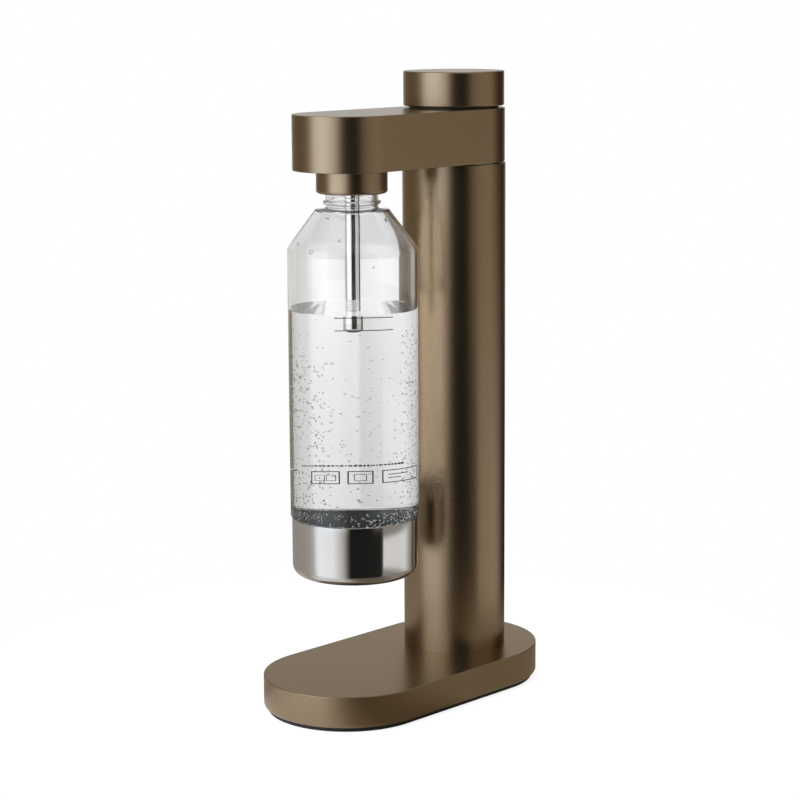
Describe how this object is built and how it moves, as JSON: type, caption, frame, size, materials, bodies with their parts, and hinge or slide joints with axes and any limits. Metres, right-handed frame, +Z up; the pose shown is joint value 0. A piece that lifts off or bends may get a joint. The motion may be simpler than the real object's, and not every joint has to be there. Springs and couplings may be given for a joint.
{
  "type": "sparkling water maker",
  "caption": "Sparkling water maker: a bottle screws up under an arm, a gas cylinder stands in the column, and a push button on top lets gas into the bottle.",
  "frame": {"origin": "centre of the base's footprint, on the surface that the machine stands on", "axes": "+Z up along the column; the bottle hangs towards -Y and the column stands towards +Y; +X is to the right seen from the front"},
  "size_m": [0.114, 0.2186, 0.4194],
  "materials": {
    "bronze": "satin bronze anodised",
    "sole_rubber": "matt",
    "black_plastic": "moulded, fine grain",
    "steel": "zinc plated",
    "polished_steel": "polished",
    "plain_aluminium": "machined",
    "cylinder_grey": "painted, satin",
    "ballast_iron": "raw",
    "brass": "turned",
    "seal_rubber": "matt",
    "silicone": "matt",
    "foam": "matt",
    "clear_plastic": "clear, glossy"
  },
  "bodies": {
    "frame": {"base_slab": "bronze", "base_sole": "sole_rubber", "base_cover": "black_plastic", "cover_screws": "steel", "ballast": "ballast_iron", "ballast_screws": "steel", "column_tube": "bronze", "column_flange": "plain_aluminium", "flange_screws": "steel", "column_spigot": "plain_aluminium", "spigot_screws": "steel", "cylinder_guide": "black_plastic", "gas_cylinder": "cylinder_grey", "cylinder_valve": "brass", "arm_shell": "bronze", "arm_floor": "bronze", "arm_screws": "steel", "valve_block": "brass", "valve_gasket": "seal_rubber", "plunger_seal": "seal_rubber", "plunger_gland": "brass", "head_screws": "steel", "gas_pipe": "steel", "pipe_nuts": "brass", "nozzle_block": "black_plastic", "relief_body": "brass", "relief_spring": "steel", "thread_insert": "black_plastic", "bottle_collar": "bronze", "carbonation_tube": "polished_steel", "nozzle_tip": "polished_steel", "button_guide": "black_plastic", "guide_screws": "steel", "button_spring": "steel"},
    "button": {"button_cap": "bronze", "plunger": "steel"},
    "pin": {"valve_pin": "steel"},
    "relief": {"relief_poppet": "steel"},
    "hatch": {"cylinder_hatch": "black_plastic", "hatch_pad": "foam"},
    "seal": {"bottle_seal": "silicone"},
    "bottle": {"bottle_shell": "clear_plastic", "bottle_cup": "polished_steel", "cup_foot": "sole_rubber"}
  },
  "joints": [
    {"name": "button_press", "type": "slide", "parent": "frame", "child": "button", "axis": [0, 0, -1], "range_m": [0, 0.0012], "stiffness_N_per_m": 1500, "springref_m": -0.003, "deforming": ["button_spring"]},
    {"name": "pin_travel", "type": "slide", "parent": "frame", "child": "pin", "axis": [0, 0, -1], "range_m": [0, 0.0012]},
    {"name": "relief_lift", "type": "slide", "parent": "frame", "child": "relief", "axis": [0, 0, 1], "range_m": [0, 0.0008], "stiffness_N_per_m": 2500, "springref_m": -0.002, "deforming": ["relief_spring"]},
    {"name": "hatch_turn", "type": "hinge", "parent": "frame", "child": "hatch", "pos_m": [0, 0.05225, 0.0045], "axis": [0, 0, 1], "range_deg": [-35, 0]},
    {"name": "bottle_turn", "type": "hinge", "parent": "frame", "child": "seal", "pos_m": [0, -0.04515, 0.35], "axis": [0, 0, 1], "range_deg": [-360, 0]},
    {"name": "bottle_drop", "type": "slide", "parent": "seal", "child": "bottle", "axis": [0, 0, 1], "range_m": [-0.016, 0]}
  ],
  "couplings": [
    {"joint": "pin_travel", "follows": "button_press", "ratio": 1},
    {"joint": "bottle_drop", "follows": "bottle_turn", "m_per_rad": 0.0025465}
  ]
}
